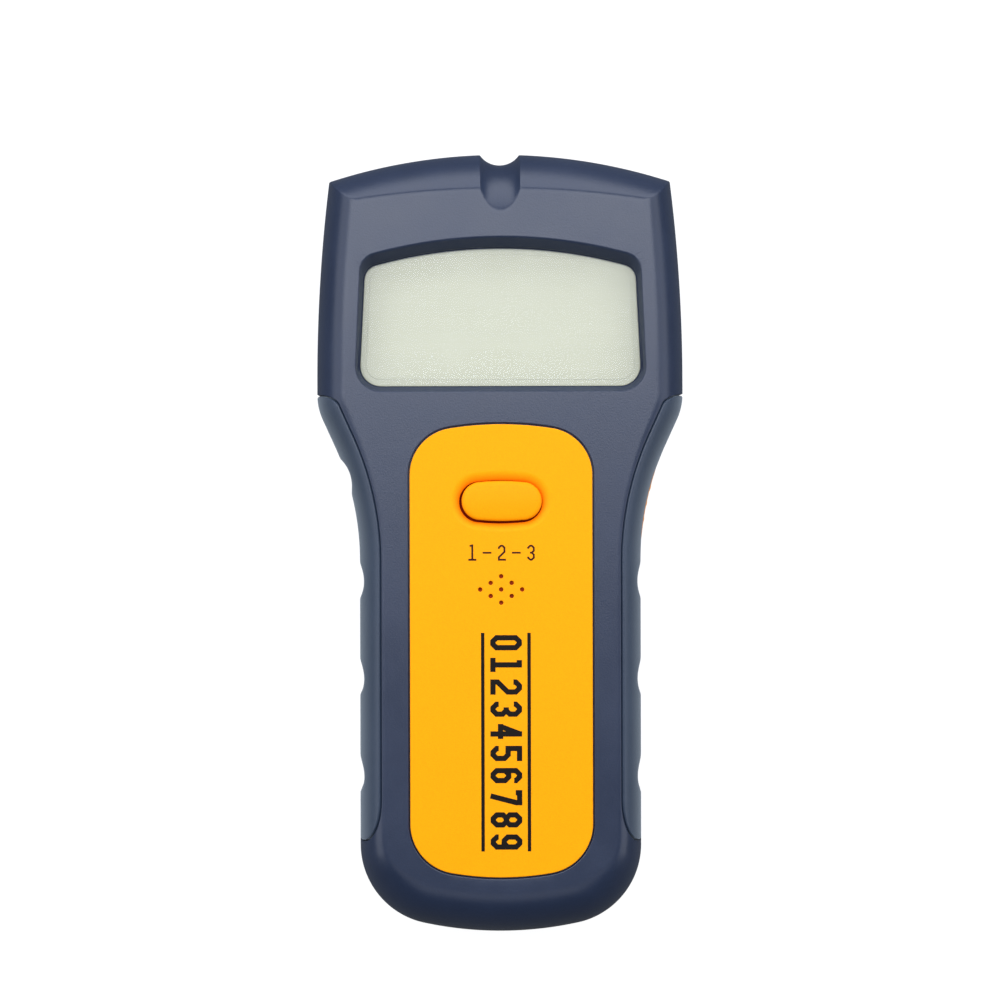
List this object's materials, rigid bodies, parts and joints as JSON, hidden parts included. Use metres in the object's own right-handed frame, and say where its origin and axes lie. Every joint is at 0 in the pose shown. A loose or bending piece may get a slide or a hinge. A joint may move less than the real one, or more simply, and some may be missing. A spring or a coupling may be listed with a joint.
{
  "type": "stud finder",
  "caption": "Hand-held stud finder with a wide sensing head under a display window, a waisted gripped handle, a select button, a side scan button and a sliding battery door.",
  "frame": {"origin": "centre of the bounding box on the plane that the wall pads rest on", "axes": "+Z out of the display face, +Y along the handle towards the sensing head, +X towards the side with the scan button"},
  "size_m": [0.073, 0.1549, 0.0285],
  "materials": {
    "navy_shell": "fine matte grain",
    "navy_grip": "soft matte",
    "yellow_plastic": "satin",
    "orange_plastic": "satin",
    "clear_lens": "clear, polished",
    "display_glass": "grey-green display",
    "white_plastic": "satin",
    "circuit_board": "solder mask",
    "black_plastic": "satin",
    "steel": "plated",
    "copper": "bare",
    "ferrite": "dull",
    "soft_foam": "foamed",
    "felt": "brushed",
    "battery_label": "plain printed sleeve",
    "red_lead": "satin",
    "black_lead": "satin"
  },
  "bodies": {
    "casing": {"backlight_guide": "white_plastic", "backlight_led": "white_plastic", "battery": "battery_label", "battery_foam": "soft_foam", "battery_minus": "steel", "battery_plus": "steel", "battery_snap": "black_plastic", "board_screw_1": "steel", "board_screw_2": "steel", "board_screw_3": "steel", "board_screw_4": "steel", "buzzer": "black_plastic", "capacitor_1": "steel", "capacitor_2": "steel", "case_screw_1": "steel", "case_screw_2": "steel", "case_screw_3": "steel", "case_screw_4": "steel", "coil_bobbin": "black_plastic", "coil_core": "ferrite", "coil_winding": "copper", "controller_chip": "black_plastic", "display_window": "clear_lens", "face_plate": "yellow_plastic", "front_shell": "navy_shell", "header_block": "black_plastic", "header_pin_1": "steel", "header_pin_2": "steel", "header_pin_3": "steel", "header_pin_4": "steel", "lcd_frame": "white_plastic", "lcd_panel": "display_glass", "lead_black": "black_lead", "lead_red": "red_lead", "left_grip": "navy_grip", "main_board": "circuit_board", "rear_shell": "navy_shell", "resistor_1": "white_plastic", "resistor_2": "white_plastic", "resistor_3": "white_plastic", "right_grip": "navy_grip", "scan_switch": "black_plastic", "select_switch": "black_plastic", "sensor_board": "circuit_board", "sensor_plate_1": "copper", "sensor_plate_2": "copper", "sensor_plate_3": "copper", "sensor_plate_4": "copper", "wall_pad_1": "felt", "wall_pad_2": "felt", "wall_pad_3": "felt", "wall_pad_4": "felt", "zebra_strip": "soft_foam"},
    "battery_door": {"battery_door": "navy_shell"},
    "scan_button": {"scan_button": "orange_plastic"},
    "scan_plunger": {"scan_plunger": "white_plastic"},
    "select_button": {"select_button": "yellow_plastic"},
    "select_plunger": {"select_plunger": "white_plastic"}
  },
  "joints": [
    {"name": "select_press", "type": "slide", "parent": "casing", "child": "select_button", "axis": [0, 0, -1], "range_m": [0, 0.0006], "stiffness_N_per_m": 900},
    {"name": "select_switch_press", "type": "slide", "parent": "casing", "child": "select_plunger", "axis": [0, 0, -1], "range_m": [0, 0.0008]},
    {"name": "scan_press", "type": "slide", "parent": "casing", "child": "scan_button", "axis": [-0.9788, 0.2048, 0], "range_m": [0, 0.0008], "stiffness_N_per_m": 900},
    {"name": "scan_switch_press", "type": "slide", "parent": "casing", "child": "scan_plunger", "axis": [-0.9788, 0.2048, 0], "range_m": [0, 0.001]},
    {"name": "battery_door_slide", "type": "slide", "parent": "casing", "child": "battery_door", "axis": [0, -1, 0], "range_m": [0, 0.062]}
  ],
  "couplings": [
    {"joint": "select_switch_press", "follows": "select_press", "ratio": 1},
    {"joint": "scan_switch_press", "follows": "scan_press", "ratio": 1}
  ]
}
